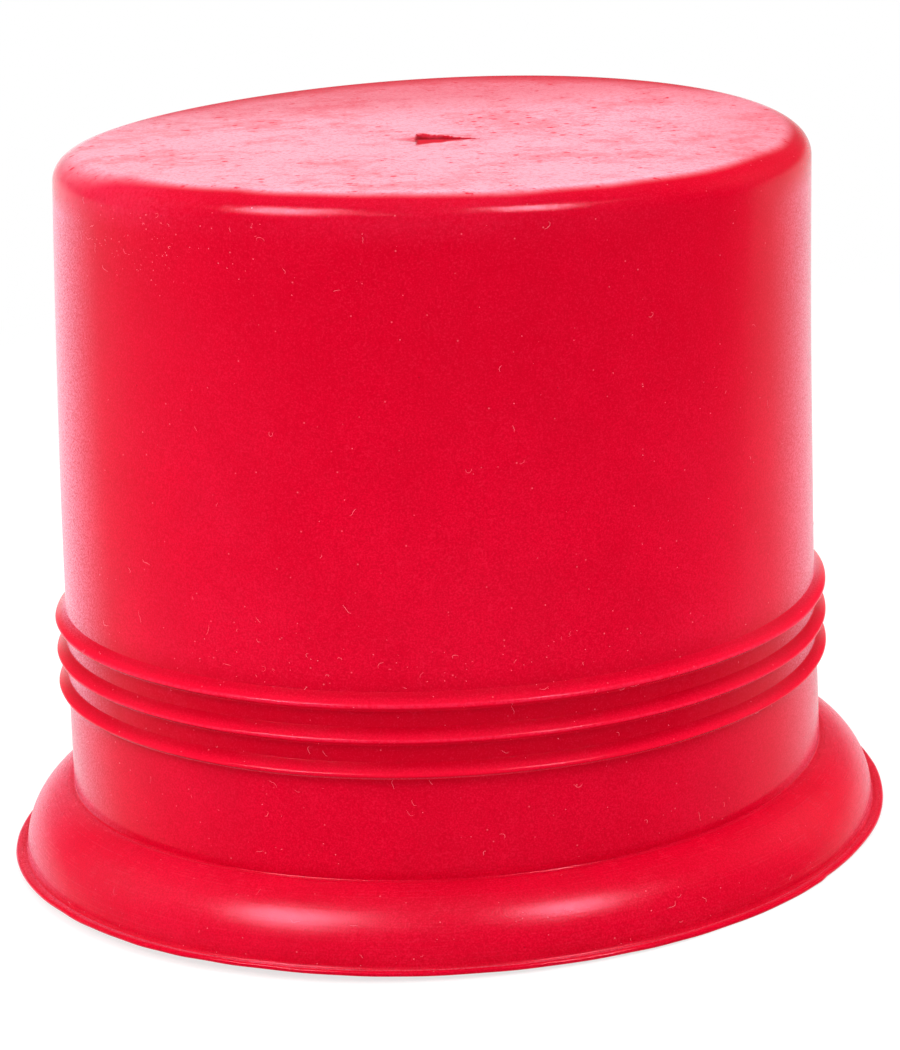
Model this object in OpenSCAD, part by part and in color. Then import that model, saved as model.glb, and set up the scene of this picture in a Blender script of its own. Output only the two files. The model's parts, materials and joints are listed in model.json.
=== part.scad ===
// Hollow rubber stopper, standing mouth down on its flange, closed end up.
// Frame: millimetres, origin at the centre of the flange underside, +Z up to the closed end,
// +X to the right of the front view, +Y away from it.

/* [Overall] */
// diameter over the rib crests, which is the bore that the stopper seals
rib_d = 35; // [28:0.5:45]
// height from the foot to the closed end
height = 32.2; // [24:0.1:48]

/* [Plug wall] */
// thickness of the wall at the mouth
wall_t = 2.4; // [1.4:0.1:5]
// lean of the outer wall towards the closed end, degrees
wall_draft = 1; // [0:0.1:2]
// height of plain wall between the bead and the lowest rib
collar_h = 4.7; // [2:0.02:8]
// width of the rounded rim round the closed end
rim_w = 2.5; // [1:0.1:4]
// height of the rounded rim round the closed end
rim_h = 1; // [0.6:0.1:3]

/* [Sealing ribs] */
// number of ribs
rib_count = 3; // [1:1:5]
// height of the crests above the wall
rib_h = 0.48; // [0.24:0.02:0.7]
// distance from rib to rib
rib_pitch = 1.48; // [1.2:0.02:2.4]
// length of the level land on each crest
rib_land = 0.16; // [0.06:0.02:0.3]
// rounding either side of the land
rib_round = 0.15; // [0.05:0.01:0.2]
// slope of the flanks, degrees from the axis
rib_flank = 60; // [50:1:75]

/* [Flange] */
// width by which the bead stands out from the wall
bead_w = 2.35; // [1.6:0.05:3.4]
// radius of the bead section
bead_r = 3; // [2.3:0.1:3.6]
// width of the thin lip beyond the bead
lip_w = 0.52; // [0.2:0.02:1.5]
// thickness of the lip
lip_t = 0.22; // [0.1:0.02:0.6]

/* [Inside] */
// lean of the inner wall towards the closed end, degrees
bore_draft = 1; // [0:0.1:2]
// thickness of the closed end
web_t = 2; // [1:0.1:5]
// rounding where the inner wall meets the closed end
bore_round = 1.5; // [0.5:0.1:3]
// rounding of the mouth edge
mouth_round = 0.5; // [0.2:0.05:1]

/* [Cut in the closed end] */
// length of the wedge-shaped cut
cut_len = 2.9; // [1:0.1:6]
// width of the cut at its open end
cut_w = 1.2; // [0.4:0.1:2]
// distance of the open end from the axis, to the right
cut_x = -0.7; // [-4:0.1:4]
// distance of the open end from the axis, away from the front
cut_y = -1.9; // [-4:0.1:4]
// direction of the cut from its open end, degrees
cut_turn = -12; // [-180:1:180]

/* [Hidden] */
arc_steps = 12;
fine_steps = 4;
overshoot = 0.01;

// the bead is an arc centred level with the top of the lip; it ends in a crease at the wall
bead_end = acos(1 - bead_w / bead_r);
crease_z = lip_t + bead_r * sin(bead_end);

// ribs, from the lowest one up
rib_r = rib_d / 2;
rib_z = crease_z + collar_h;
rib_mid = rib_z + (rib_count - 1) * rib_pitch / 2;

// outer wall: its radius at each height, with rib_h left below the crests at the middle of the ribs
wall_k = tan(wall_draft);
function wall_at(z) = rib_r - rib_h - (z - rib_mid) * wall_k;
bead_x = wall_at(crease_z) + bead_w - bead_r;
foot_r = wall_at(crease_z) + bead_w + lip_w;
rim_x = wall_at(height - rim_h) - rim_w;

// inner wall: its radius at each height
bore_k = tan(bore_draft);
bore_top = height - web_t;
mouth_r = wall_at(crease_z) - wall_t;
function bore_at(z) = mouth_r - z * bore_k;

// points of an arc, or of part of an ellipse when the radii differ
function arc(x, z, rx, rz, from, to, steps) =
    [for (i = [0:steps]) let (a = from + (to - from) * i / steps) [x + rx * cos(a), z + rz * sin(a)]];

// foot of a rib flank, where it meets the leaning wall; side is -1 below the rib, 1 above it
flank_r = rib_r - rib_round + rib_round * cos(rib_flank);
flank_z = rib_land / 2 + rib_round * sin(rib_flank);
function rib_foot(z, side) =
    let (slope = sin(rib_flank) - side * wall_k * cos(rib_flank),
         run = (flank_r - wall_at(z + side * flank_z)) / slope)
    [flank_r - run * sin(rib_flank), z + side * (flank_z + run * cos(rib_flank))];

// one rib, from its lower foot to its upper foot
function rib(z) = concat(
    [rib_foot(z, -1)],
    arc(rib_r - rib_round, z - rib_land / 2, rib_round, rib_round, -rib_flank, 0, fine_steps),
    arc(rib_r - rib_round, z + rib_land / 2, rib_round, rib_round, 0, rib_flank, fine_steps),
    [rib_foot(z, 1)]);

// half section of the whole stopper, from the foot up the outside and back down the inside
section = concat(
    arc(foot_r - lip_t / 2, lip_t / 2, lip_t / 2, lip_t / 2, -90, 90, fine_steps),
    arc(bead_x, lip_t, bead_r, bead_r, 0, bead_end, arc_steps),
    [for (n = [0:rib_count - 1]) each rib(rib_z + n * rib_pitch)],
    arc(rim_x, height - rim_h, rim_w, rim_h, 0, 90, arc_steps),
    [[0, height], [0, bore_top]],
    arc(bore_at(bore_top) - bore_round, bore_top - bore_round, bore_round, bore_round, 90, 0, arc_steps),
    arc(mouth_r + mouth_round, mouth_round, mouth_round, mouth_round, 180, 270, fine_steps));

// the whole moulding: wall, ribs, bead, lip and closed end are one piece of rubber
module stopper() {
    color([0.85, 0.02, 0.15])
    difference() {
        rotate_extrude($fn = 180) polygon(section);
        translate([cut_x, cut_y, bore_top - overshoot]) rotate([0, 0, cut_turn])
            linear_extrude(height = web_t + 2 * overshoot)
                polygon([[0, -cut_w / 2], [cut_len, 0], [0, cut_w / 2]]);
    }
}

stopper();
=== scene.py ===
"""Hollow red rubber stopper, standing mouth down on its flange.

The moulding is one closed skin, worked out from the packed part's own sizes, with the small lean,
warp, tear and scuffs that soft rubber takes on, with painted light, shade, highlight and sheen in
its colour, and with the lint and dust that cling to it. Lengths are in metres.
"""
import json
import math

import bmesh
import bpy
import numpy as np
from mathutils import Matrix, Vector


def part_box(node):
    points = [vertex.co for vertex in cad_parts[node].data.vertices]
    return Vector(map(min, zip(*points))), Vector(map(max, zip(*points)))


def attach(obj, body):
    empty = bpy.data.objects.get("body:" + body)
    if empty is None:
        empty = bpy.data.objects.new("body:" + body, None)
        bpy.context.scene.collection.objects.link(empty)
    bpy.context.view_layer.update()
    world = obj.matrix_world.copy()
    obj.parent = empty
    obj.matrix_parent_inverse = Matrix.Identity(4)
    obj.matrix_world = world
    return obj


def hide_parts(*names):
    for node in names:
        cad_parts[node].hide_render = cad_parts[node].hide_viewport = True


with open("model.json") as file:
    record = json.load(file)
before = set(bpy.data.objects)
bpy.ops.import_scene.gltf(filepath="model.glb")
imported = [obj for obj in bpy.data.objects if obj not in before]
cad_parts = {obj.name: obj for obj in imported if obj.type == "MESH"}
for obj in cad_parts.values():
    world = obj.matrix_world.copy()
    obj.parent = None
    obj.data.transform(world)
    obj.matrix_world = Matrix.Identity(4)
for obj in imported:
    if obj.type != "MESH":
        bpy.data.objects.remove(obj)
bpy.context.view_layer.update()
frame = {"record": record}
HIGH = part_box("stopper")[1]
RIBS = next(m for m in frame["record"]["mounts"] if m["name"] == "plug_ribs")

bl_info = {
    "name": "Rubber Stopper",
    "version": (1, 0, 0),
    "blender": (4, 5, 0),
    "location": "3D View > Sidebar > Stopper",
    "description": "Builds a hollow rubber stopper, its lint and dust, and a small studio",
    "category": "Object",
}

MM = 0.001
CREST_R = RIBS["dims"]["r_mm"] * MM
RIBS_Z, RIBS_LONG = RIBS["pos_m"][2], RIBS["dims"]["length_mm"] * MM
ROUND = 348          # columns of the skin round the axis
FIBRES, SPECKS = 170, 420
AMBIENT = 0.62       # light from the surroundings
LAMP_AIM = 16 * MM   # height that the lamps point at
CARD_RADIUS = 0.8    # ball that only reflections see
FLOOR_SIDE = 1.5     # half the width of the floor


def number(name, description, default, **more):
    """A plain number's property."""
    return bpy.props.FloatProperty(name=name, description=description, default=default, **more)


def length(name, description, default_mm):
    """A length property, given in millimetres and kept in metres."""
    return number(name, description, default_mm * MM, precision=5, subtype="DISTANCE",
                  unit="LENGTH")


def angle(name, description, default_deg):
    """An angle property, given in degrees and kept in radians."""
    return number(name, description, math.radians(default_deg), subtype="ANGLE", unit="ROTATION")


def share(name, description, default):
    """A number from 0 to 1."""
    return number(name, description, default, min=0.0, max=1.0, subtype="FACTOR")


def colour(name, description, default):
    """A colour property, in linear red, green and blue."""
    return bpy.props.FloatVectorProperty(name=name, description=description, default=default,
                                         size=3, subtype="COLOR", min=0.0, max=1.0)


# name, degrees round to the right of the front, degrees up, distance, width, height, brightness,
# and whether it lights the rubber, shines on it, or both
LAMPS = (
    ("softbox left", -40, 45, 0.5, 0.42, 0.035, 14.6, "both"),
    ("softbox right", 43, 47, 0.5, 0.42, 0.035, 4.9, "both"),
    ("side panel left", -105, 25, 0.5, 0.3, 0.3, 3.4, "lights"),
    ("side panel right", 118, 22, 0.5, 0.3, 0.3, 5.4, "lights"),
    ("top panel", 0, 80, 0.5, 0.4, 0.4, 1.4, "lights"),
    ("back panel", 180, 45, 0.5, 0.4, 0.3, 1.6, "lights"),
    ("gleam left", -49, 45, 0.5, 0.20, 0.27, 25, "shines"),
    ("gleam left middle", -53, 46, 0.5, 0.16, 0.15, 38, "shines"),
    ("gleam right", 38, 48, 0.5, 0.13, 0.20, 30, "shines"),
    ("gleam right middle", 41, 49, 0.5, 0.10, 0.13, 54, "shines"),
)


# ---- settings

class StopperForm(bpy.types.PropertyGroup):
    """Sizes of the moulding, beside those that come from the packed part."""
    wall_draft: angle("Wall draft", "Lean of the outer wall towards the closed end", 1.0)
    rim_h: length("Rim height", "Height of the rounded rim", 1.2)
    rim_small: length("Rim corner", "Radius at which the rim starts out of the wall", 1.05)
    below_top: length("Below top", "Mean level of the closed end below its highest point", 0.64)
    rib_h: length("Rib height", "Height of the rib crests above the wall", 0.48)
    rib_land: length("Rib land", "Level land on each crest of the packed part", 0.16)
    rib_round: length("Rib rounding", "Radius of the rib crests", 0.09)
    bead_w: length("Bead width", "Width by which the bead stands out from the wall", 2.35)
    bead_r: length("Bead radius", "Radius of the bead section", 3.0)
    lip_w: length("Lip width", "Width of the thin lip beyond the bead", 0.52)
    lip_t: length("Lip thickness", "Thickness of the lip", 0.22)
    wall_t: length("Wall thickness", "Thickness of the wall at the mouth", 2.4)
    web_t: length("Closed end", "Thickness of the closed end", 2.0)
    bore_draft: angle("Bore draft", "Lean of the inner wall", 1.0)
    bore_round: length("Bore round", "Rounding of the inner corner", 1.5)
    mouth_round: length("Mouth round", "Rounding of the mouth edge", 0.5)


class StopperStance(bpy.types.PropertyGroup):
    """How the soft moulding leans and warps as it stands."""
    lean: length("Lean", "Sideways lean of the closed end that grows with height", 0.53)
    bend: length("Bend", "Further lean that grows with the square of the height", 0.74)
    tilt: angle("Tilt", "Sideways tilt of the closed end", -1.7)
    tilt_early: angle("Early tilt", "Tilt that is gained low down and given back above", -1.15)
    fold: length("Fold", "Rise of the closed end at front and back, and fall at its sides", 0.144)
    saddle_foot: length("Foot saddle", "Rise and fall of the foot at its corners", 0.137)
    saddle_top: length("Top saddle", "Rise and fall of the closed end at its corners", 0.196)
    oval: length("Oval", "Amount by which the foot is out of round", 0.1)
    uneven: length("Uneven", "Slow waves in the wall, rim, ribs and bead", 0.02)
    height: length("Height", "Height at which the lean is reached", 31.6)
    radius: length("Radius", "Radius at which the saddle and the fold are reached", 17.2)
    lip_wave: length("Lip wave", "Waves in the width of the lip", 0.04)
    lip_step: length("Lip step", "Depth of the small step in the lip", 0.14)
    lip_lift: length("Lip lift", "Slow waves in the height of the lip", 0.035)
    lip_ruffle: length("Lip ruffle", "Fine waves in the height of the lip", 0.02)


class StopperCut(bpy.types.PropertyGroup):
    """The tear in the closed end: a wedge-shaped hollow with a slit along its bottom."""
    length: length("Length", "Length of the hollow", 2.9)
    x: length("Right", "Place of the blunt end, to the right", -0.7)
    y: length("Back", "Place of the blunt end, away from the front", -1.9)
    turn: angle("Turn", "Direction of the cut", -12.0)
    far_w: length("Far side", "Width of the steep far side at the blunt end", 0.7)
    near_w: length("Near side", "Width of the rubbed near lip at the blunt end", 2.3)
    depth: length("Depth", "Depth of the hollow along the slit", 0.4)
    raised: length("Raised", "Rise of the far lip above the closed end", 0.12)
    slit_w: length("Slit", "Width of the slit at the blunt end", 0.16)
    trough: length("Trough", "Depth of the faint trough beyond the blunt end", 0.07)


class StopperLook(bpy.types.PropertyGroup):
    """Colours and finish of the rubber, what lies on it, and the light and shade painted on it."""
    red: colour("Red", "Clean rubber", (0.70, 0.0006, 0.022))
    # deep red: darker mottles and grain, and also the painted shade between the ribs and high on
    # the wall
    deep: colour("Deep red", "Darker mottles", (0.54, 0.0002, 0.012))
    # bright red: the painted light up the rib ramps, and a brighter red under the film
    bright: colour("Bright red", "Rubbed ribs, and rubber under the film", (0.97, 0.006, 0.04))
    # dark red: painted shade in the crack of the tear and up the slit
    dark: colour("Dark red", "Inside of the crack", (0.24, 0.0003, 0.003))
    speck: colour("Specks", "Dark specks", (0.25, 0.001, 0.008))
    # bloom: dusty bloom, and also the tone of the painted highlight on the rib crests
    bloom: colour("Bloom", "Dusty bloom on the rubber", (0.95, 0.06, 0.17))
    # edge: painted sheen, a pale tone where the skin is seen edge on
    edge: colour("Edge", "Dust seen edge on", (1.0, 0.50, 0.76))
    # pale: the chalky film on the closed end, partly a painted grazing reflection
    pale: colour("Pale", "Chalky film on the closed end", (0.91, 0.61, 0.745))
    lint: colour("Lint", "Fibres and dust", (0.95, 0.30, 0.40))
    red_lint: colour("Red lint", "Redder fibres and dust", (0.9, 0.15, 0.24))
    shine: colour("Shine", "Tint of the rubber's shine", (1.0, 0.6, 0.83))
    # film cover, partly a painted grazing reflection on the closed end
    film: share("Film", "Cover of the chalky film on the closed end", 0.70)
    under_film: share("Under the film", "Bright red under the film", 0.8)
    scuff: share("Scuffs", "Film that the scuffs take off", 0.9)
    mottle: share("Mottles", "Deep red in the mottles", 0.25)
    grain: share("Grain", "Deep red in the fine grain", 0.6)
    # painted shade between the ribs, which also deepens the red on the rubbed tear
    gap: share("Between ribs", "Deep red between the ribs", 0.8)
    # painted shade: a deeper red towards the closed end
    shade: share("Upper wall", "Deep red towards the closed end", 0.4)
    # painted sheen where the skin is seen edge on
    painted_sheen: share("Edge-on dust", "Dust seen edge on", 0.38)
    # painted light: a brighter red up the rib ramps
    rib_light: share("Wear", "Bright red on the ribs", 0.4)
    # painted highlight: a pale bloom tone along the rib crests
    crest: share("Crest dust", "Bloom on the rib crests", 0.2)
    # painted shade: how dark the crack of the tear is
    crack: share("Crack", "Dark red in the crack", 0.92)
    rough: share("Roughness", "Roughness of the clean rubber", 0.15)
    matt: share("Matt tear", "Added roughness of the rubbed tear", 0.65)
    level: share("Shine level", "Specular level of the rubber", 0.08)
    relief: share("Relief", "Strength of the relief of grain and turning marks", 0.3)


class StopperStudio(bpy.types.PropertyGroup):
    """Where the camera stands and how it looks."""
    lens: number("Lens", "Focal length", 120.71, unit="CAMERA")
    distance: length("Distance", "Camera to the axis of the stopper", 153.742)
    aside: length("Aside", "Camera to the right of the axis", 0.899)
    eye: length("Eye height", "Camera above the floor", 56.45)
    look_down: angle("Look down", "Camera below level", 15.52)
    roll: angle("Roll", "Camera turned about its own axis", -3.907)


# ---- section of the moulding

def arc(r, z, across, up, start, end, steps):
    """Points of an elliptical arc: r plus across times the cosine, z plus up times the sine,
    with the angle running evenly from start to end in degrees."""
    a = np.radians(np.linspace(start, end, steps))
    return np.stack([r + across * np.cos(a), z + up * np.sin(a)], 1)


def line(r0, z0, r1, z1, steps):
    """Evenly spaced points of a straight line, both ends left out."""
    t = np.linspace(0, 1, steps + 2)[1:-1, None]
    return (1 - t) * np.array([[r0, z0]]) + t * np.array([[r1, z1]])


def wall_radius(form, z):
    """Radius of the outer wall: rib crest less rib height at the middle rib, less the draft
    times the height above it."""
    return CREST_R - form.rib_h - (z - RIBS_Z) * math.tan(form.wall_draft)


def on_wall(form, z):
    """The point of the outer wall at height z."""
    return [wall_radius(form, z), z]


def rib(form, z, up=50, down=60, power=1.03):
    """One rib, from its upper foot to its lower foot, with its crest at height z. The crest is
    an arc from up to down degrees either side of level. Above it a slightly hollow ramp starts
    at the arc's own slope and stands out of the wall by the share left to the power; below it
    the arc's end falls straight back to the wall."""
    r, a_up, a_down = form.rib_round, math.radians(up), math.radians(down)
    start = z + r * math.sin(a_up)
    out = CREST_R - r * (1 - math.cos(a_up)) - wall_radius(form, start)
    reach = power * out / math.tan(a_up)
    left = np.concatenate([[0, 0.03], np.linspace(0.1, 1, 10)[:-1]])
    height = start + reach * (1 - left)
    ramp = np.stack([wall_radius(form, height) + out * left ** power, height], 1)
    under = z - r * math.sin(a_down)
    back = CREST_R - r * (1 - math.cos(a_down))
    low = under - (back - wall_radius(form, under)) / math.tan(a_down)
    thin = 0.05 * MM
    return np.concatenate([[on_wall(form, start + reach + thin)], ramp,
                           arc(CREST_R - r, z, r, r, up, -down, 12),
                           line(back, under, wall_radius(form, low), low, 3),
                           [on_wall(form, low), on_wall(form, low - thin)]])


def section(form):
    """Half section from the edge of the closed end, over the rim, down the wall, ribs, collar
    and bead to the lip, and back under the foot and up the bore to the ceiling. Returns the
    points and the row numbers where the named stretches start."""
    high = HIGH.z - form.below_top
    pitch = (RIBS_LONG - form.rib_land) / 2
    bead_end = math.degrees(math.acos(1 - form.bead_w / form.bead_r))
    crease_z = form.lip_t + form.bead_r * math.sin(math.radians(bead_end))
    crease_r = wall_radius(form, crease_z)
    bead_x = crease_r + form.bead_w - form.bead_r
    foot_r = crease_r + form.bead_w + form.lip_w
    change = 50      # degrees up at which the rim's two arcs meet
    low, side = math.sin(math.radians(change)), math.cos(math.radians(change))
    small, rim_z = form.rim_small, high - form.rim_h
    wide = (form.rim_h - small * low) / (1 - low)
    rim_r = wall_radius(form, rim_z)
    rim_x = rim_r - small * (1 - side) - wide * side
    rows, marks = [], {}

    def add(name, points):
        marks.setdefault(name, sum(len(p) for p in rows))
        rows.append(points)

    # rim: a wide, shallow arc, then a tighter one that meets the wall
    add("rim", arc(rim_x, high - wide, wide, wide, 90, change, 12))
    add("rim", arc(rim_r - small, rim_z, small, small, change, 0, 12)[1:])

    # wall and ribs, from the highest down
    above = [rim_r, rim_z]
    for n, name, steps in ((1, "wall", 20), (0, "ribs", 2), (-1, "ribs", 2)):
        points = rib(form, RIBS_Z + n * pitch)
        add(name, line(*above, *points[0], steps))
        add(f"rib {n}", points[:1])
        add("ribs", points[1:])
        above = points[-1]

    # collar, crease, bead and lip
    groove = 0.09 * MM
    brink = on_wall(form, crease_z + groove)
    add("collar", line(*above, *brink, 9))
    add("crease", np.array([brink,
                            [crease_r - 0.4 * groove, crease_z + 0.15 * groove],
                            [crease_r - 0.1 * groove, crease_z - 0.5 * groove],
                            [crease_r + 0.75 * groove, crease_z - 0.55 * groove]]))
    add("bead", arc(bead_x, form.lip_t, form.bead_r, form.bead_r, bead_end - 4, 3, 28))
    bead_out = bead_x + form.bead_r
    dip = np.array([[0.01, -0.03], [0.07, -0.06], [0.15, -0.02]]) * MM
    add("lip", np.array([[bead_out, form.lip_t]]) + dip)
    half_t = form.lip_t / 2
    add("lip", line(bead_out + dip[-1, 0], form.lip_t, foot_r - half_t, form.lip_t, 3))
    add("edge", arc(foot_r - half_t, half_t, half_t, half_t, 90, -90, 7))

    # underside, mouth and bore
    bore_top = high - form.web_t
    mouth_r, mouth, corner = crease_r - form.wall_t, form.mouth_round, form.bore_round
    add("foot", line(foot_r - half_t, 0, mouth_r + mouth, 0, 7))
    add("mouth", arc(mouth_r + mouth, mouth, mouth, mouth, 270, 180, 6))
    inner = mouth_r - (bore_top - corner) * math.tan(form.bore_draft)
    add("bore", line(mouth_r, mouth, inner, bore_top - corner, 10))
    add("bore", arc(inner - corner, bore_top - corner, corner, corner, 0, 90, 8))
    return np.concatenate(rows), marks


# ---- skin of the moulding

def waves(angle_round, seed, first, last, fade):
    """Sum of cosines round the axis, from first to last waves a turn, each with a seeded phase
    and an amplitude that falls as the number of waves to the power fade; largest value is 1."""
    rng = np.random.default_rng(seed)
    n = np.arange(first, last + 1)
    phase = rng.uniform(0, 2 * np.pi, len(n))
    amp = rng.normal(1, 0.3, len(n)) / (n / first) ** fade
    total = (amp * np.cos(np.multiply.outer(angle_round, n) + phase)).sum(-1)
    return total / np.abs(total).max()


def smooth(value, low, high):
    """A smooth step: 0 up to low, 1 from high, three t squared less two t cubed between."""
    t = np.clip((value - low) / (high - low), 0, 1)
    return t * t * (3 - 2 * t)


def stance_warp(p, stance):
    """Lean, tilt, saddle and oval of the soft moulding. With u the height as a share of the
    stance's height: x gains lean times u and bend times u squared; z gains x times the tilt
    times u, x times the early tilt times u less u squared, the saddle times twice x times y
    over the stance's radius squared, and the fold times u squared times the difference of the
    squares of y and x over the same; the radius gains the oval times the sine of twice the
    angle, fading with u."""
    x, y, z = p[..., 0], p[..., 1], p[..., 2]
    u = z / stance.height
    saddle = stance.saddle_foot + (stance.saddle_top - stance.saddle_foot) * u
    tilt = stance.tilt * u + stance.tilt_early * u * (1 - u)
    r = np.hypot(x, y) + 1e-9
    out = stance.oval * (1 - 0.8 * u) * 2 * x * y / r ** 2
    warp = saddle * 2 * x * y + stance.fold * u ** 2 * (y * y - x * x)
    return np.stack([x + stance.lean * u + stance.bend * u ** 2 + out * x / r,
                     y + out * y / r,
                     z + tilt * x + warp / stance.radius ** 2], -1)


def cut_axes(cut):
    """Start of the cut, and its unit directions along and across."""
    along = np.array([math.cos(cut.turn), math.sin(cut.turn)])
    return np.array([cut.x, cut.y]), along, np.array([-along[1], along[0]])


def slit_outline(cut, a):
    """Outline of the slit for the column angles a. Its place along the cut is half the length
    times one plus the cosine of the angle from the cut's direction, so columns crowd at both
    ends; its half width falls to a hairline towards the tip and closes at the blunt end; and
    its middle line weaves by a sine."""
    start, along, across = cut_axes(cut)
    v = a - cut.turn
    whole = cut.length * 1.12
    s = whole * 0.5 * (1 + np.cos(v))
    closing = np.clip(s / (0.05 * MM), 0, 1) ** 0.5
    half = cut.slit_w / 2 * np.clip(1 - s / whole, 0, 1) ** 0.7 * closing
    hairline, weave = 0.004 * MM, 0.03 * MM
    w = half * np.sign(np.sin(v)) + hairline * np.sin(v)
    w += weave * np.sin(2.1 * s / MM + 0.4) * (1 - np.cos(2 * v)) / 2
    return start + s[:, None] * along + w[:, None] * across


def bell(value, width):
    """A bell curve: e to the power less the square of the value over the width."""
    return np.exp(-(value / width) ** 2)


def cut_hollow(cut, x, y):
    """Depth of the hollow round the slit, how far the tear has rubbed off the film, and how much
    painted shade lies in the crack. Along the cut the widths and depths shrink as one less the
    share passed.
    The far side falls steeply from a raised lip to the slit; the near lip stays level and
    drops off at the slit; beyond the blunt end a faint trough fades out over 1.3 mm."""
    start, along, across = cut_axes(cut)
    s = (x - start[0]) * along[0] + (y - start[1]) * along[1]
    w = (x - start[0]) * across[0] + (y - start[1]) * across[1]
    past = s - w * math.tan(cut.turn)
    rest = np.clip(1 - s / cut.length, 0, 1)
    open_end = smooth(past, -0.05 * MM, 0.05 * MM)
    ragged = 1 + 0.08 * np.sin(5.3 * s / MM + 0.7) + 0.05 * np.sin(11 * s / MM)
    least = 1e-7
    part_far = np.clip(w, 0, None) / (cut.far_w * rest ** 0.9 * ragged + least)
    part_near = np.clip(-w, 0, None) / (cut.near_w * rest ** 1.4 * ragged + least)

    far = cut.depth * rest * np.clip(1 - part_far, 0, 1) ** 0.5
    far = far - cut.raised * rest * bell(part_far - 1.1, 0.5)
    near = cut.depth * rest * bell(np.clip(-w, 0, None), 0.07 * MM)
    hollow = open_end * np.where(w > 0, far, near)
    before = np.clip(1 + past / (1.3 * MM), 0, 1) * (past < 0.02 * MM)
    trough = cut.trough * before * bell(w, 0.75 * MM * before + least)

    # film rubbed off: both sides of the hollow, the trough, and a scratch along the far lip
    sides = np.where(w > 0, 1 - smooth(part_far, 1.0, 1.15), 1 - smooth(part_near, 0.8, 1.0))
    beyond = 0.75 * before ** 0.7 * np.exp(-(w / (0.8 * MM * before + least)) ** 4)
    scratch = 0.5 * open_end * (rest > 0.2) * bell(w - 1.2 * MM * rest ** 0.3, 0.09 * MM)
    rubbed = np.maximum(np.maximum(open_end * sides, beyond), scratch)

    # painted shade in the crack: the far side, a strip of the near side, and the blunt end
    near_dark = 1 - smooth(-w, 0.1 * MM, 0.3 * MM * rest + 0.1001 * MM)
    crack = open_end * rest ** 0.3 * np.where(w > 0, 1 - smooth(part_far, 0.84, 0.97), near_dark)
    ends = bell(past - 0.03 * MM, 0.06 * MM)
    ends = ends * (1 - smooth(part_far, 0.9, 1.1)) * (1 - smooth(part_near, 0.3, 0.8))
    return hollow + trough * (1 - open_end), rubbed, np.maximum(crack, 0.8 * ends)


def turned_grid(form, cut, a):
    """The skin before it warps, rows by columns at the angles a. It starts at the slit's edge,
    widens over the closed end as a blend of the slit's outline and a circle, follows the section
    turned round the axis, narrows over the ceiling back to the slit, and rises through the slit.
    The tear's hollow is taken off the closed end. Returns the places across, the heights, the row
    numbers where the named stretches start, where the tear is rubbed, and how much painted shade
    lies in its crack."""
    rows, marks = section(form)
    ring = np.stack([np.cos(a), np.sin(a)], 1)
    slit = slit_outline(cut, a)
    torn = 0.115     # share of the way out that the tear's fine rows take up
    further = torn + (1 - torn) * np.linspace(0, 1, 22)[1:-1] ** 1.4
    share_out = np.concatenate([np.linspace(0, torn, 25), further])[:, None, None]
    share_in = np.linspace(1, 0, 13)[1:, None, None] ** 1.6
    levels = np.linspace(0, 1, 9)[1:-1]

    end = (1 - share_out) * slit + share_out * rows[0, 0] * ring
    ceiling = (1 - share_in) * slit + share_in * rows[-1, 0] * ring
    rise = np.repeat(slit[None], len(levels), 0)
    xy = np.concatenate([end, rows[:, :1, None] * ring, ceiling, rise])
    z = np.concatenate([np.full(len(end), rows[0, 1]), rows[:, 1],
                        np.full(len(ceiling) + len(rise), rows[-1, 1])])
    height = np.repeat(z[:, None], len(a), 1)

    marks = {name: row + len(end) for name, row in marks.items()}
    marks.update(ceiling=len(end) + len(rows), rise=len(xy) - len(levels))
    hollow, rubbed, dark = cut_hollow(cut, end[..., 0], end[..., 1])
    height[:len(end)] -= hollow
    height[marks["rise"]:] += (height[0] - rows[-1, 1]) * levels[:, None]
    return xy, height, marks, rubbed, dark


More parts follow.
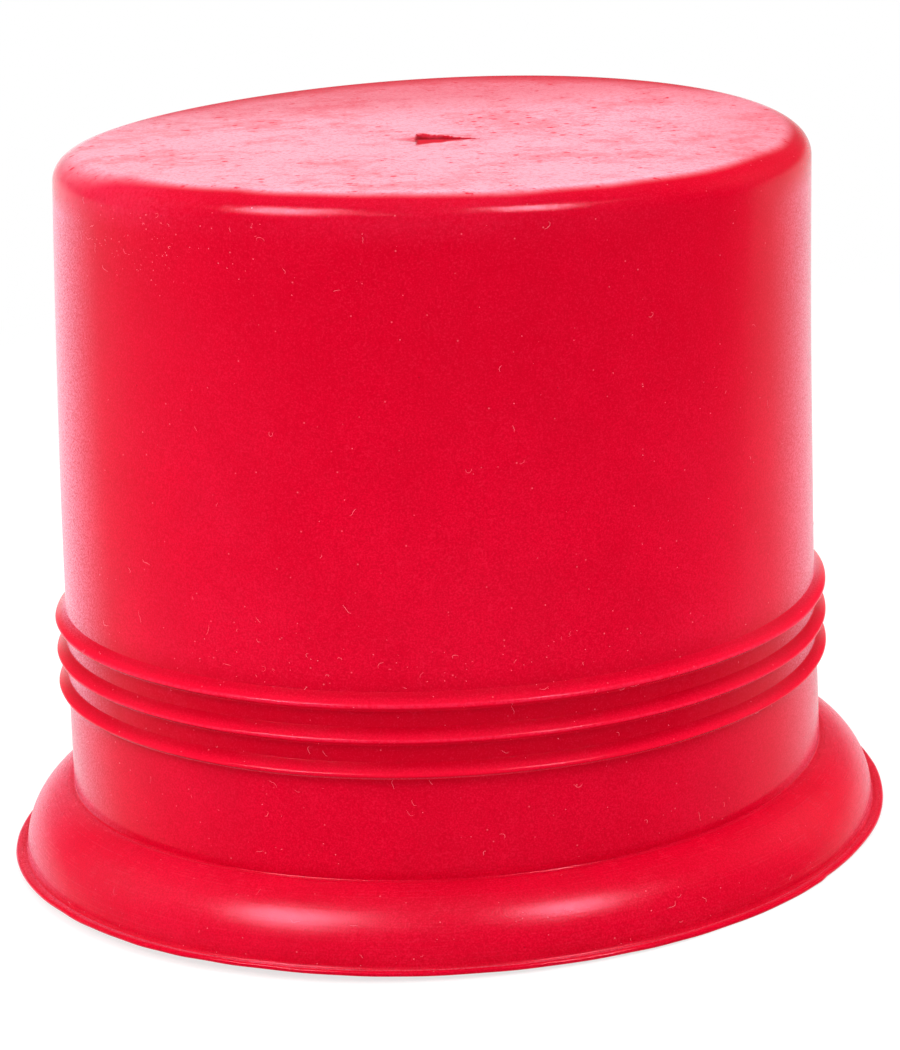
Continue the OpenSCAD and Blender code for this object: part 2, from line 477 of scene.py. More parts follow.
def surface_shares(marks, a, rim_r, stand, place, rubbed, dark):
    """What lies on the skin, how it is finished and what light and shade are painted on it, as
    shares from 0 to 1 at every point. Film is the chalky cover of the closed end, partly a painted
    grazing reflection: it reaches further over the rim in front than behind, thins out to the back
    and the right, and is rubbed off at the tear. Crack is the painted shade in the crack of the
    tear and up the slit, and matt its rubbed sides. Haze lies between the ribs, left and right; gap
    is the painted shade between them, and a deeper red where the tear is rubbed; painted_rib_light
    is the painted light up them, a brighter red; crest is a painted highlight, a pale bloom tone
    along their tops. Turned is the strength of the turning marks, full on the bead. Side is how
    much painted sheen shows where the skin is seen edge on, and how much of the dust shows on the
    wall: none on the ribs, less below them and to the right. Dust lies low on the wall and at its
    sides, on the rim and on the bead. Shade is painted shade: a deeper red towards the closed end."""
    x, y, height, radius = place
    end, rim = slice(0, marks["rim"]), slice(marks["rim"], marks["wall"])
    walls, bead = slice(marks["wall"], marks["crease"]), slice(marks["bead"], marks["lip"])
    top, upper = slice(0, marks["wall"]), slice(marks["rim"], marks["crease"])
    ribs = slice(marks["ribs"] + 4, marks["collar"])     # from below the highest ramp

    def only(rows, values):
        """The values on those rows, and 0 on the others."""
        kept = np.zeros(radius.shape)
        kept[rows] = values
        return kept

    behind, left = smooth(np.sin(a), 0.3, 0.95), -np.cos(a)
    # the chalky film, partly a painted grazing reflection on the closed end
    film_edge = rim_r + MM * (0.5 - 1.6 * behind + 0.5 * smooth(left, 0.8, 0.97)
                              + 0.12 * waves(a, 15, 3, 30, 0.6))
    soft = MM * (0.34 + 0.9 * behind + 0.5 * smooth(left, 0.6, 0.98))
    film = 1 - smooth(radius, film_edge - soft, film_edge + soft)
    film *= (1 - 0.55 * smooth(y, 2 * MM, 12 * MM)) * (1 - 0.3 * smooth(x, 8 * MM, 15 * MM))
    film[end] *= 1 - rubbed
    # painted shade in the crack, and full painted shade up the slit
    crack = only(end, dark)
    crack[marks["rise"]:] = 1

    on_rib, between = stand[walls], 1 - smooth(stand[ribs], 0.05, 0.4)
    beyond = np.abs(height[walls] - RIBS_Z) - RIBS_LONG / 2
    # painted shade between the ribs, fading above and below them; a deeper red on the rubbed tear
    gap = only(walls, (1 - smooth(beyond, 0, 0.9 * MM)) * (1 - smooth(on_rib, 0.1, 0.7)))
    gap[end] = 0.35 * rubbed
    turned = only(slice(marks["wall"], None), 0.1)
    turned[marks["bead"]:marks["edge"]] = 1
    # share of painted sheen where the skin is seen edge on, which also scales the dust on the wall
    side = only(walls, 1 - (1 - smooth(beyond, 0, 0.5 * MM)) * smooth(on_rib, 0.0, 0.08))
    side[marks["collar"]:marks["foot"]] = 0.6
    side *= 1 - 0.4 * smooth(x, 0, 10 * MM)

    low, far_left = 1 - smooth(height, 10 * MM, 28 * MM), smooth(-x, 6 * MM, 15 * MM)
    near_right, near_left = smooth(x, 6 * MM, 12 * MM), smooth(-x, 3 * MM, 10 * MM)
    on_wall = (low * (0.015 + 0.07 * near_right) + 0.025 * near_left) * side * (1 - gap)
    dust = only(walls, on_wall[walls])
    dust[rim] = (0.05 - 0.05 * smooth(x, 4 * MM, 11 * MM) + 0.10 * far_left)[rim]
    dust[bead] = (0.02 * smooth(-x, -4 * MM, 4 * MM) + 0.03 * far_left)[bead]
    return {"film": only(top, film[top]), "crack": crack, "matt": only(end, 0.3 * rubbed),
            "haze": only(ribs, between * smooth(np.abs(left), 0.3, 0.75)), "gap": gap,
            # painted light up the rib ramps
            "painted_rib_light": only(walls, smooth(on_rib, 0.3, 1.0)), "turned": turned, "side": side,
            # painted highlight along the rib crests
            "crest": only(walls, smooth(on_rib, 0.93, 0.985)), "dust": dust,
            # painted shade, deeper towards the closed end
            "shade": only(upper, smooth(height[upper], 16 * MM, 28 * MM))}


def moulding_skin(form, stance, cut):
    """The whole skin as a grid of points, rows by columns round the axis, closed both ways: the
    turned grid, with waves in the lip, ribs, wall, rim, bead and closed end, then the lean and
    the warp. Last it is set on the floor and kept inside the packed part's box. Returns the
    points, the surface shares by name, and the rows where the named stretches start."""
    a = np.arange(ROUND) * 2 * np.pi / ROUND + np.pi / 2
    xy, height, marks, rubbed, dark = turned_grid(form, cut, a)
    x, y = xy[..., 0], xy[..., 1]
    radius = np.hypot(x, y)
    rim_r = radius[marks["rim"], 0]
    stand = (radius - wall_radius(form, height)) / form.rib_h

    # lip: thin and wavy, with one small step in front
    lip, foot = marks["lip"], marks["foot"]
    reach = np.clip((radius[lip:foot] - radius[lip]) / (radius[:, 0].max() - radius[lip]), 0, 1)
    past_step = np.degrees((a + np.pi) % (2 * np.pi) - np.pi) + 36
    step = smooth(past_step, -1.2, 1.2) * np.exp(-np.clip(past_step, 0, None) / 14)
    radius[lip:foot] += reach * (stance.lip_wave * waves(a, 3, 2, 40, 0.9) - stance.lip_step * step)
    height[lip:foot] += reach * (stance.lip_lift * (1 + waves(a, 5, 2, 18, 0.8))
                                 + stance.lip_ruffle * waves(a, 6, 20, 60, 0.3))

    # slow waves in the ribs, in the whole outside, and over the closed end
    ribs, outside = slice(marks["ribs"], marks["collar"]), slice(marks["rim"], marks["lip"])
    height[ribs] += 1.4 * stance.uneven * waves(a, 11, 2, 9, 0.7)
    radius[ribs] += stance.uneven * np.clip(stand[ribs], 0, None) * (waves(a, 12, 2, 30, 0.6) - 1)
    level = height[outside] / MM
    radius[outside] += 0.5 * stance.uneven * (waves(a, 13, 2, 9, 0.5) * np.sin(0.31 * level + 1)
                                              + waves(a, 14, 3, 14, 0.5) * np.sin(0.53 * level + 2))
    end = slice(0, marks["rim"])
    ripple = np.sin(x[end] / (2.3 * MM) + 1) * np.cos(y[end] / (2.9 * MM))
    height[end] += 0.8 * stance.uneven * ripple

    turned = slice(marks["rim"], marks["ceiling"])
    x[turned], y[turned] = radius[turned] * np.cos(a), radius[turned] * np.sin(a)
    p = stance_warp(np.stack([x, y, height], -1), stance)
    p[..., 2] -= p[..., 2].min()
    p[..., 2] *= min(1, HIGH.z / p[..., 2].max())
    for k, limit in ((0, HIGH.x), (1, HIGH.y)):
        p[..., k] *= min(1, (limit - 1e-6) / np.abs(p[..., k]).max())
    return p, surface_shares(marks, a, rim_r, stand, (x, y, height, radius), rubbed, dark), marks


def section_lengths(p):
    """Length walked along the skin from row to row, in millimetres, in the first column, which
    lies straight behind the axis."""
    step = np.linalg.norm(np.diff(p[:, 0], axis=0), axis=1)
    return np.concatenate([[0], np.cumsum(step)]) / MM


# ---- meshes and objects

def grid_quads(rows, columns, closed=False):
    """Quads of a grid of points, each from its own point to the next in the row below, the
    next beside that, and the next beside. Closed, the last row and column join the first."""
    ends = 0 if closed else 1
    i, j = np.meshgrid(np.arange(rows - ends), np.arange(columns - ends), indexing="ij")
    below, beside = (i + 1) % rows * columns, (j + 1) % columns
    return np.stack([i * columns + j, below + j, below + beside, i * columns + beside], -1)


def new_mesh(name, points, faces, material):
    """A mesh from points, faces and its material."""
    mesh = bpy.data.meshes.new(name)
    mesh.from_pydata(points.reshape(-1, 3), [], faces.reshape(-1, faces.shape[-1]).tolist())
    mesh.materials.append(material)
    return mesh


def give(mesh, name, values):
    """Gives every point of a mesh its number, as an attribute of that name."""
    attribute = mesh.attributes.new(name, "FLOAT", "POINT")
    attribute.data.foreach_set("value", values.ravel().astype(np.float32))


def face_outwards(mesh):
    """Turns the faces of a mesh outwards."""
    b = bmesh.new()
    b.from_mesh(mesh)
    bmesh.ops.recalc_face_normals(b, faces=b.faces)
    b.to_mesh(mesh)
    b.free()


def new_object(name, data):
    """An object in the scene, with its mesh, lamp or camera."""
    made = bpy.data.objects.new(name, data)
    bpy.context.scene.collection.objects.link(made)
    return made


def new_piece(name, mesh):
    """A piece of the stopper, which rides on the one body."""
    piece = new_object(name, mesh)
    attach(piece, "root")
    return piece


# ---- lint and dust

class Skin:
    """The moulding's skin as a surface that lint can lie on, by length along the section in
    millimetres and angle round the axis."""

    def __init__(self, p, marks):
        self.p, self.marks = p, marks
        self.along = section_lengths(p)

    def at(self, s, a):
        """Point on the skin: the four grid points round it, mixed by how near they lie."""
        row = np.interp(s, self.along, np.arange(len(self.along)))
        col = ((a - np.pi / 2) / (2 * np.pi) * ROUND) % ROUND
        i, j = np.minimum(row.astype(int), len(self.p) - 2), col.astype(int) % ROUND
        fi, fj = (row - i)[..., None], (col - np.floor(col))[..., None]
        k = (j + 1) % ROUND
        return ((1 - fi) * ((1 - fj) * self.p[i, j] + fj * self.p[i, k])
                + fi * ((1 - fj) * self.p[i + 1, j] + fj * self.p[i + 1, k]))

    def normal(self, s, a):
        """Outward direction: the cross product of short steps along and round the skin."""
        ds, da = 0.08, 0.012
        down = self.at(s + ds, a) - self.at(s - ds, a)
        turn = self.at(s, a + da) - self.at(s, a - da)
        n = np.cross(down, turn)
        return n / np.linalg.norm(n, axis=-1, keepdims=True)

    def at_height(self, a, z):
        """Length along the section where the outside passes height z, for the angles a."""
        i = slice(self.marks["rim"], self.marks["edge"])
        return np.interp(-z, -self.p[i, 0, 2], self.along[i])


def fibre_mesh(skin, s, a, size, bend, spin, thick, lift):
    """Fibres that lie on the skin. Each follows a path whose heading turns steadily by bend
    radians over its size, about heading spin, in the plane of the skin, with a small sine
    wiggle; its middle is lifted by lift times the sine of its share; and four corners at thick
    from the path make it a thin square tube that narrows to its ends."""
    points, wiggle = 9, 0.35
    t = np.linspace(0, 1, points)
    heading = spin[:, None] + bend[:, None] * (t - 0.5)
    heading = heading + wiggle * np.sin(2 * np.pi * t + spin[:, None] * 3)
    step = size[:, None] / points
    u, v = np.cumsum(step * np.cos(heading), 1), np.cumsum(step * np.sin(heading), 1)
    radius = np.hypot(*np.moveaxis(skin.at(s, a)[:, :2], -1, 0))[:, None] / MM
    where = s[:, None] + v, a[:, None] + u / radius
    normal = skin.normal(*where)
    rise = thick[:, None] * 0.8 + lift[:, None] * np.sin(np.pi * t)
    path = skin.at(*where) + normal * rise[..., None] * MM
    along = np.gradient(path, axis=1)
    along /= np.linalg.norm(along, axis=-1, keepdims=True)
    across = np.cross(along, normal)
    across /= np.linalg.norm(across, axis=-1, keepdims=True)
    girth = (thick[:, None] * (0.25 + 0.75 * np.sin(np.pi * t) ** 0.4))[..., None] * MM
    up, out = girth * normal, girth * across
    ring = np.stack([path + up, path + out, path - up, path - out], 2)
    n = len(s)
    base = (np.arange(n) * points * 4)[:, None, None]
    i, k = np.arange(points - 1)[None, :, None] * 4, np.arange(4)[None, None, :]
    near, far = base + i, base + i + 4
    k2 = (k + 1) % 4
    quads = np.stack([near + k, near + k2, far + k2, far + k], -1).reshape(-1, 4)
    first = base[:, 0] + np.array([[3, 2, 1, 0]])
    last = base[:, 0] + (points - 1) * 4 + np.array([[0, 1, 2, 3]])
    return ring.reshape(-1, 3), np.concatenate([quads, first, last])


def speck_mesh(skin, s, a, size, flat):
    """Specks that lie on the skin: eight-sided grains, size across, and flat times half the
    size high above the skin."""
    centre, normal = skin.at(s, a), skin.normal(s, a)
    side = np.cross(normal, [0.31, 0.22, 0.92])
    side /= np.linalg.norm(side, axis=-1, keepdims=True)
    other = np.cross(normal, side)
    half = (size / 2 * MM)[:, None]
    up = half * flat[:, None] * normal
    points = centre[:, None] + np.stack([half * side, half * 0.8 * other, half * -0.9 * side,
                                         half * -0.7 * other, up, up * -0.6], 1)
    faces = np.array([[0, 1, 4], [1, 2, 4], [2, 3, 4], [3, 0, 4],
                      [1, 0, 5], [2, 1, 5], [3, 2, 5], [0, 3, 5]])
    first = np.arange(len(s))[:, None, None] * points.shape[1]
    return points.reshape(-1, 3), (first + faces).reshape(-1, 3)


# degrees round to the right of the front, height in mm, spread in degrees, spread in mm, share
LINT_SPOTS = (
    (-62, 29.8, 7, 0.6, 14), (-44, 29.2, 8, 0.9, 24), (-27, 29.0, 10, 1.2, 10),
    (-25, 12.6, 12, 1.2, 20), (-55, 13.5, 10, 2.0, 8), (12, 12.4, 14, 0.8, 16),
    (30, 22.0, 20, 6.0, 14), (-5, 20.0, 45, 8.0, 22), (-20, 10.0, 30, 1.2, 14),
    (25, 10.2, 25, 1.2, 10), (-28, 6.5, 20, 1.5, 12), (8, 4.2, 35, 1.2, 14),
    (40, 1.2, 18, 0.9, 10), (-35, 1.0, 22, 0.9, 10), (-75, 3.0, 14, 1.6, 6),
    (60, 26.0, 12, 4.0, 6), (120, 18.0, 60, 8.0, 16), (-140, 16.0, 60, 8.0, 16),
    (180, 8.0, 50, 4.0, 10),
)


def scatter(skin, seed, count):
    """Seeded places on the outside: a spot is drawn by its share, then an angle and a height
    from normal spreads round it. Returns the draws, so that they can go on, the lengths along
    the section and the angles."""
    rng = np.random.default_rng(seed)
    spots = np.array(LINT_SPOTS, float)
    pick = spots[rng.choice(len(spots), count, p=spots[:, 4] / spots[:, 4].sum())]
    degrees = pick[:, 0] + rng.normal(0, 1, count) * pick[:, 2]
    z = np.clip(pick[:, 1] + rng.normal(0, 1, count) * pick[:, 3], 0.5, 30.6) * MM
    a = np.radians(degrees - 90)
    return rng, skin.at_height(a, z), a


# ---- materials

class Nodes:
    """Short ways of adding linked nodes to one tree."""

    def __init__(self, tree):
        self.tree = tree

    def add(self, kind, values=None, **inputs):
        """A node of that kind, with its settings, and its inputs by name or as i and a number;
        an input that is a socket is linked."""
        node = self.tree.nodes.new(kind)
        for key, value in (values or {}).items():
            setattr(node, key, value)
        for key, value in inputs.items():
            numbered = key[0] == "i" and key[1:].isdigit()
            socket = node.inputs[int(key[1:])] if numbered else node.inputs[key.replace("_", " ")]
            if isinstance(value, bpy.types.NodeSocket):
                self.tree.links.new(value, socket)
            else:
                socket.default_value = value
        return node

    def math(self, operation, *values, clamp=False):
        """A Math node's result."""
        node = self.add("ShaderNodeMath", {"operation": operation, "use_clamp": clamp},
                        **{f"i{n}": v for n, v in enumerate(values)})
        return node.outputs[0]

    def times(self, first, second):
        """One value times another."""
        return self.math("MULTIPLY", first, second)

    def plus(self, first, second):
        """One value added to another."""
        return self.math("ADD", first, second)

    def blend(self, share_first, first, second):
        """A mix of two values."""
        return self.plus(self.times(first, share_first), self.times(second, 1 - share_first))

    def noise(self, where, scale, detail=3.0, rough=0.55):
        """Noise at so many waves a millimetre."""
        return self.add("ShaderNodeTexNoise", Vector=where, Scale=scale, Detail=detail,
                        Roughness=rough).outputs["Fac"]

    def step(self, value, low, high, to_low=0.0, to_high=1.0):
        """A smooth step of a value from low to high."""
        return self.add("ShaderNodeMapRange", {"interpolation_type": "SMOOTHSTEP"}, Value=value,
                        From_Min=low, From_Max=high, To_Min=to_low, To_Max=to_high).outputs[0]

    def paint(self, cover, first, second):
        """The first colour under so much cover of the second."""
        return self.add("ShaderNodeMix", {"data_type": "RGBA"}, i0=cover, i6=first,
                        i7=rgba(second)).outputs[2]

    def object_place(self):
        """The place on the object."""
        return self.add("ShaderNodeTexCoord").outputs["Object"]

    def attribute(self, name):
        """A named number that the mesh carries."""
        return self.add("ShaderNodeAttribute", {"attribute_name": name}).outputs["Fac"]

    def specks(self, where, scale, size, share_kept):
        """Small round specks: the nearest of scattered points, closer than size, kept in that
        share of the cells."""
        cells = self.add("ShaderNodeTexVoronoi", Vector=where, Scale=scale)
        spot = self.step(cells.outputs["Distance"], size, size * 0.5)
        pick = self.add("ShaderNodeSeparateColor", Color=cells.outputs["Color"])
        return self.times(spot, self.math("LESS_THAN", pick.outputs[0], share_kept))


def rgba(c):
    """A colour with full alpha."""
    return (*c, 1.0)


def new_material(name):
    """A new material with its node tree and shader."""
    material = bpy.data.materials.new(name)
    material.use_nodes = True
    return material, Nodes(material.node_tree), material.node_tree.nodes["Principled BSDF"]


def emitter_material(name):
    """A new material without its shader, and a way to link another one."""
    material, n, shader = new_material(name)
    n.tree.nodes.remove(shader)
    surface = n.tree.nodes["Material Output"].inputs["Surface"]
    return material, n, lambda shown: n.tree.links.new(shown.outputs[0], surface)


def film_share(n, look, mm, patch, cloud, grain):
    """Cover of the chalky film, partly a painted grazing reflection: thinner in blotches, grained,
    and nicked by short dark scuffs, most of them where it is thin."""
    thin = n.step(n.blend(0.65, patch, cloud), 0.34, 0.56, look.film * 0.6, look.film)
    cover = n.times(n.attribute("film"), thin)
    cover = n.times(cover, n.step(grain, 0.66, 0.44, 0.7, 1.0))
    stretched = n.add("ShaderNodeMapping", Vector=mm, Scale=(2.2, 5.0, 5.0), Rotation=(0, 0, 0.12))
    scratches = n.step(n.noise(stretched.outputs[0], 1.0, 2.0, 0.5), 0.65, 0.69)
    nicks = n.math("MAXIMUM", scratches, n.specks(mm, 1.3, 0.24, 0.6))
    scuffs = n.times(nicks, n.step(n.blend(0.5, patch, cloud), 0.56, 0.44))
    return n.times(cover, n.math("SUBTRACT", 1.0, n.times(scuffs, look.scuff)))


def rubber_material(look):
    """Satin red rubber under layers of colour, each with its own cover, among them painted shade,
    painted light, a painted highlight and a painted sheen, and with fine turning marks that run
    round the moulding."""
    material, n, shader = new_material("red rubber")
    mm = n.add("ShaderNodeMapping", Vector=n.object_place(), Scale=(1000, 1000, 1000)).outputs[0]
    patch, cloud = n.noise(mm, 0.3, 4.0, 0.6), n.noise(mm, 1.4, 4.0, 0.65)
    grain, fine = n.noise(mm, 5.5, 3.0, 0.7), n.noise(mm, 13.0, 2.0, 0.6)
    film_cover, turned = n.attribute("film"), n.attribute("turned")
    dusty = n.step(n.blend(0.5, n.noise(mm, 0.11, 4.0), grain), 0.36, 0.64, 0.3, 1.7)
    # painted sheen: a pale tone goes into the base colour where the skin is seen edge on
    facing = n.add("ShaderNodeLayerWeight", Blend=0.5).outputs["Facing"]
    painted_sheen_cover = n.times(n.step(facing, 0.52, 0.95, 0.0, look.painted_sheen), n.attribute("side"))
    cloudy = n.step(n.blend(0.5, cloud, grain), 0.45, 0.65, 0.0, 0.05)
    base = rgba(look.red)
    for cover, tone in (
        # deep mottles, painted shade between the ribs, fine grain, painted shade high on the wall
        (n.step(patch, 0.62, 0.36, 0.0, look.mottle), look.deep),
        (n.times(n.attribute("gap"), look.gap), look.deep),
        (n.step(fine, 0.46, 0.62, 0.0, look.grain), look.deep),
        (n.times(n.attribute("shade"), look.shade), look.deep),
        # dusty bloom, its fine grain, painted sheen where the skin is seen edge on, haze between
        # the ribs
        (n.times(dusty, n.attribute("dust")), look.bloom),
        (n.step(fine, 0.46, 0.34, 0.0, 0.08), look.bloom),
        (n.times(painted_sheen_cover, n.step(fine, 0.32, 0.68, 1.7, 0.3)), look.edge),
        (n.times(n.attribute("haze"), cloudy), look.bloom),
        # closed end: brighter red under the film, then the film, partly a painted grazing
        # reflection
        (n.times(film_cover, look.under_film), look.bright),
        (film_share(n, look, mm, patch, cloud, grain), look.pale),
        # pale and dark specks, painted light up the ribs, a painted highlight on their crests,
        # painted shade in the crack
        (n.times(n.specks(mm, 1.9, 0.085, 0.45), 0.3), look.lint),
        (n.times(n.specks(mm, 1.1, 0.05, 0.25), 0.5), look.speck),
        (n.times(n.attribute("painted_rib_light"), look.rib_light), look.bright),
        (n.times(n.attribute("crest"), n.step(grain, 0.35, 0.6, 0.0, look.crest)), look.bloom),
        (n.times(n.attribute("crack"), look.crack), look.dark),
    ):
        base = n.paint(cover, base, tone)

    # turning marks follow the length along the section; they roughen the skin and stand in it
    marks = n.add("ShaderNodeTexNoise", {"noise_dimensions": "1D"}, W=n.attribute("section_mm"),
                  Scale=12.0, Detail=2.0).outputs["Fac"]
    rough = n.plus(look.rough, n.times(n.math("SUBTRACT", cloud, 0.5), 0.2))
    rough = n.plus(rough, n.times(n.plus(marks, 0.1), n.times(turned, 0.16)))
    rough = n.plus(rough, n.times(film_cover, -0.06))
    rough = n.math("ADD", rough, n.times(n.attribute("matt"), look.matt), clamp=True)
    relief = n.plus(n.times(fine, 0.6), n.times(marks, n.times(turned, 0.3)))
    relief = n.plus(relief, n.times(grain, 0.4))
    bump = n.add("ShaderNodeBump", Strength=look.relief, Distance=0.03 * MM, Height=relief)
    n.tree.links.new(base, shader.inputs["Base Color"])
    n.tree.links.new(rough, shader.inputs["Roughness"])
    n.tree.links.new(bump.outputs[0], shader.inputs["Normal"])
    shader.inputs["Specular IOR Level"].default_value = look.level
    shader.inputs["Specular Tint"].default_value = rgba(look.shine)
    return material


def lint_material(look):
    """Pale cotton fibres and grains, a little uneven in colour."""
    material, n, shader = new_material("lint")
    tone = n.add("ShaderNodeTexNoise", Vector=n.object_place(), Scale=900.0, Detail=1.0)
    base = n.paint(n.step(tone.outputs["Fac"], 0.35, 0.65), rgba(look.lint), look.red_lint)
    n.tree.links.new(base, shader.inputs["Base Color"])
    shader.inputs["Roughness"].default_value = 0.8
    shader.inputs["Specular IOR Level"].default_value = 0.2
    return material


# ---- pieces

def build_skin(scene):
    """The skin, its surface shares and its rows, from the scene's settings."""
    return moulding_skin(scene.stopper_form, scene.stopper_stance, scene.stopper_cut)


class STOPPER_OT_moulding(bpy.types.Operator):
    """Makes the one-piece moulding: plug, ribs, bead, lip and closed end"""
    bl_idname = "stopper.moulding"
    bl_label = "Moulding"

    def execute(self, context):
        p, shares, marks = build_skin(context.scene)
        material = rubber_material(context.scene.stopper_look)
        mesh = new_mesh("moulding", p, grid_quads(len(p), ROUND, closed=True), material)
        give(mesh, "section_mm", np.repeat(section_lengths(p)[:, None], ROUND, 1))
        for name, values in shares.items():
            give(mesh, name, values)

        # smooth, but for a crisp line where each rib rises out of the wall
        mesh.shade_smooth()
        flat = np.zeros((len(p), ROUND), bool)
        for rib_above in ("rib 1", "rib 0", "rib -1"):
            flat[marks[rib_above]:marks[rib_above] + 2] = True
        crisp = (mesh.attributes.get("sharp_face")
                 or mesh.attributes.new("sharp_face", "BOOLEAN", "FACE"))
        crisp.data.foreach_set("value", flat.ravel())
        piece = new_piece("moulding", mesh)
        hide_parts("stopper")
        return {"FINISHED"}


class STOPPER_OT_lint(bpy.types.Operator):
    """Makes the fibres and the specks of dust that cling to the outside"""
    bl_idname = "stopper.lint"
    bl_label = "Lint and dust"

    def execute(self, context):
        p, _, marks = build_skin(context.scene)
        skin = Skin(p, marks)
        material = lint_material(context.scene.stopper_look)

        rng, s, a = scatter(skin, 21, FIBRES)
        size = rng.uniform(0.15, 0.7, FIBRES) ** 1.3
        bend, spin = rng.normal(0, 2.2, FIBRES), rng.uniform(0, 2 * np.pi, FIBRES)
        thick, lift = rng.uniform(0.004, 0.006, FIBRES), rng.uniform(0, 0.04, FIBRES)
        fibres = fibre_mesh(skin, s, a, size, bend, spin, thick, lift)

        rng, s, a = scatter(skin, 22, SPECKS)
        size, flat = rng.uniform(0.025, 0.06, SPECKS), rng.uniform(0.3, 0.7, SPECKS)
        specks = speck_mesh(skin, s, a, size, flat)
        for name, (points, faces) in (("lint", fibres), ("dust", specks)):
            mesh = new_mesh(name, points, faces, material)
            face_outwards(mesh)
            new_piece(name, mesh)
        return {"FINISHED"}


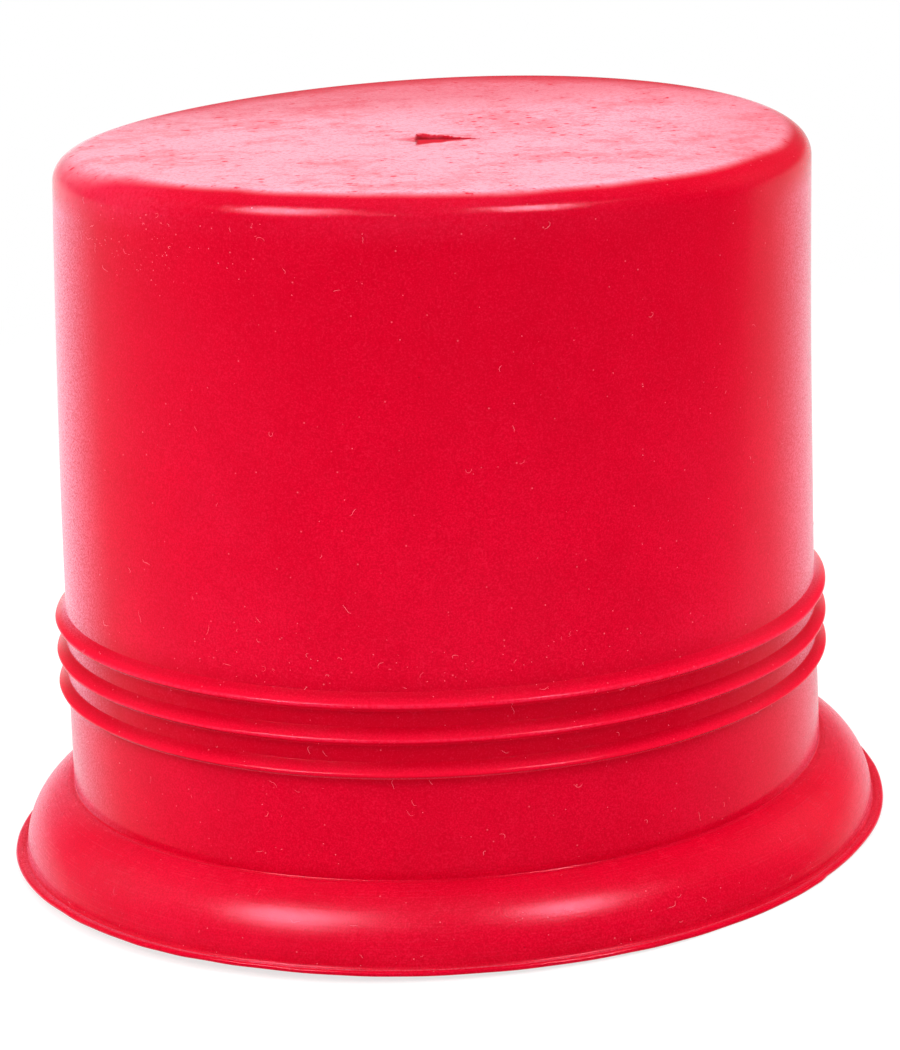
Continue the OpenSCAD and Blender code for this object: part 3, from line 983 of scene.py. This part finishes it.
class STOPPER_OT_studio(bpy.types.Operator):
    """Sets the floor, the lights, the surroundings and the camera"""
    bl_idname = "stopper.studio"
    bl_label = "Studio"

    def execute(self, context):
        self.floor()
        self.surroundings(context.scene)
        self.card()
        self.lights()
        self.camera(context.scene, context.scene.stopper_studio)
        return {"FINISHED"}

    def seen(self, n):
        """1 for camera, glossy and transmission rays, else 0."""
        path = n.add("ShaderNodeLightPath").outputs
        total = n.math("MAXIMUM", path["Is Camera Ray"], path["Is Glossy Ray"])
        return n.math("MAXIMUM", total, path["Is Transmission Ray"])

    def floor(self):
        """A pale floor that looks white and keeps a soft shadow near the stopper."""
        corners = FLOOR_SIDE * np.array([(-1, -1, 0), (1, -1, 0), (1, 1, 0), (-1, 1, 0)])
        material, n, show = emitter_material("pale floor")
        far = n.add("ShaderNodeVectorMath", {"operation": "LENGTH"}, i0=n.object_place())
        near_end, far_end = 0.03, 0.12
        fade = n.step(far.outputs["Value"], near_end, far_end)
        glow = n.step(far.outputs["Value"], near_end, far_end, 0.72, 1.0)
        grey = n.paint(fade, rgba((0.32, 0.32, 0.32)), (0, 0, 0))
        shown = n.add("ShaderNodeAddShader",
                      i0=n.add("ShaderNodeEmission", Strength=glow).outputs[0],
                      i1=n.add("ShaderNodeBsdfDiffuse", Color=grey).outputs[0])
        plain = n.add("ShaderNodeBsdfDiffuse", Color=(0.8, 0.8, 0.8, 1))
        show(n.add("ShaderNodeMixShader", i0=self.seen(n), i1=plain.outputs[0],
                   i2=shown.outputs[0]))
        floor = new_object("floor", new_mesh("floor", corners, np.array([[0, 1, 2, 3]]), material))
        floor.visible_glossy = False

    def card(self):
        """A ball round the stopper, which only reflections see: each point lies at the radius,
        turned round by its angle and up by its angle. It is dark above and in front. Low down
        it grows bright towards the left, and from a sharp edge at the right, which softens
        further down; behind it is bright."""
        name = "dark card"
        turn, rise = np.meshgrid(np.linspace(-180, 180, 241), np.linspace(-60, 88, 75),
                                 indexing="ij")
        around, up = np.radians(turn), np.radians(rise)
        p = np.stack([np.sin(around) * np.cos(up), -np.cos(around) * np.cos(up), np.sin(up)], -1)
        material, n, show = emitter_material(name)
        show(n.add("ShaderNodeEmission", Strength=n.attribute("glow")))
        mesh = new_mesh(name, CARD_RADIUS * p, grid_quads(*turn.shape), material)
        right_edge = 109
        soft = 45 * smooth(-rise, 10, 20) + 0.5
        right = 0.9 * smooth(turn, right_edge - soft, right_edge)
        glow = np.maximum(smooth(-turn, 50, 125), right) * (1 - 0.85 * smooth(rise, -2, 9))
        give(mesh, "glow", glow)
        card = new_object(name, mesh)
        card.visible_camera = card.visible_diffuse = False
        card.visible_shadow = card.visible_transmission = False

    def surroundings(self, scene):
        """White to the eye and in reflections, a plain level as light."""
        world = bpy.data.worlds.new("surroundings")
        scene.world = world
        world.use_nodes = True
        n = Nodes(world.node_tree)
        back = world.node_tree.nodes["Background"]
        back.inputs["Color"].default_value = (1, 1, 1, 1)
        strength = n.add("ShaderNodeMapRange", Value=self.seen(n), To_Min=AMBIENT, To_Max=1.0)
        world.node_tree.links.new(strength.outputs[0], back.inputs["Strength"])

    def lights(self):
        """Softboxes and panels, each aimed at the middle of the stopper."""
        for name, azimuth, elevation, reach, wide, tall, brightness, use in LAMPS:
            lamp = bpy.data.lights.new(name, "AREA")
            lamp.shape = "RECTANGLE"
            lamp.size, lamp.size_y = wide, tall
            lamp.energy = math.pi * wide * tall * brightness
            a, e = math.radians(azimuth), math.radians(elevation)
            out = math.cos(e)
            place = reach * Vector((out * math.sin(a), -out * math.cos(a), math.sin(e)))
            obj = new_object(name, lamp)
            turn = (Vector((0, 0, LAMP_AIM)) - place).to_track_quat("-Z", "Y")
            obj.matrix_world = Matrix.Translation(place) @ turn.to_matrix().to_4x4()
            obj.visible_camera = False
            obj.visible_diffuse = use != "shines"
            obj.visible_glossy = use != "lights"

    def camera(self, scene, studio):
        """A long lens, with the roll and the view down that the settings give."""
        data = bpy.data.cameras.new("camera")
        data.lens = studio.lens
        data.sensor_width = 36
        data.clip_start = 0.01
        camera = new_object("camera", data)
        place = Matrix.Translation((studio.aside, -studio.distance, studio.eye))
        camera.matrix_world = (place @ Matrix.Rotation(math.pi / 2 - studio.look_down, 4, "X")
                               @ Matrix.Rotation(studio.roll, 4, "Z"))
        scene.camera = camera
        scene.view_settings.view_transform = "Standard"


class STOPPER_PT_panel(bpy.types.Panel):
    """Lists the pieces and the settings"""
    bl_idname = "STOPPER_PT_panel"
    bl_label = "Rubber Stopper"
    bl_space_type = "VIEW_3D"
    bl_region_type = "UI"
    bl_category = "Stopper"

    def draw(self, context):
        for operator in OPERATORS:
            self.layout.operator(operator.bl_idname)
        for slot, group in SETTINGS.items():
            box = self.layout.box()
            box.label(text=group.__doc__)
            for key in group.__annotations__:
                box.prop(getattr(context.scene, slot), key)


SETTINGS = {
    "stopper_form": StopperForm,
    "stopper_stance": StopperStance,
    "stopper_cut": StopperCut,
    "stopper_look": StopperLook,
    "stopper_studio": StopperStudio,
}
OPERATORS = (STOPPER_OT_moulding, STOPPER_OT_lint, STOPPER_OT_studio)


def register():
    """Registers the settings, operators and panel."""
    for cls in (*SETTINGS.values(), *OPERATORS, STOPPER_PT_panel):
        bpy.utils.register_class(cls)
    for slot, group in SETTINGS.items():
        setattr(bpy.types.Scene, slot, bpy.props.PointerProperty(type=group))


def unregister():
    """Takes them away again."""
    for slot in SETTINGS:
        delattr(bpy.types.Scene, slot)
    for cls in (STOPPER_PT_panel, *reversed(OPERATORS), *reversed(SETTINGS.values())):
        bpy.utils.unregister_class(cls)


def main():
    """Builds everything in order."""
    register()
    bpy.ops.stopper.moulding()
    bpy.ops.stopper.lint()
    bpy.ops.stopper.studio()


if __name__ == "__main__":
    main()
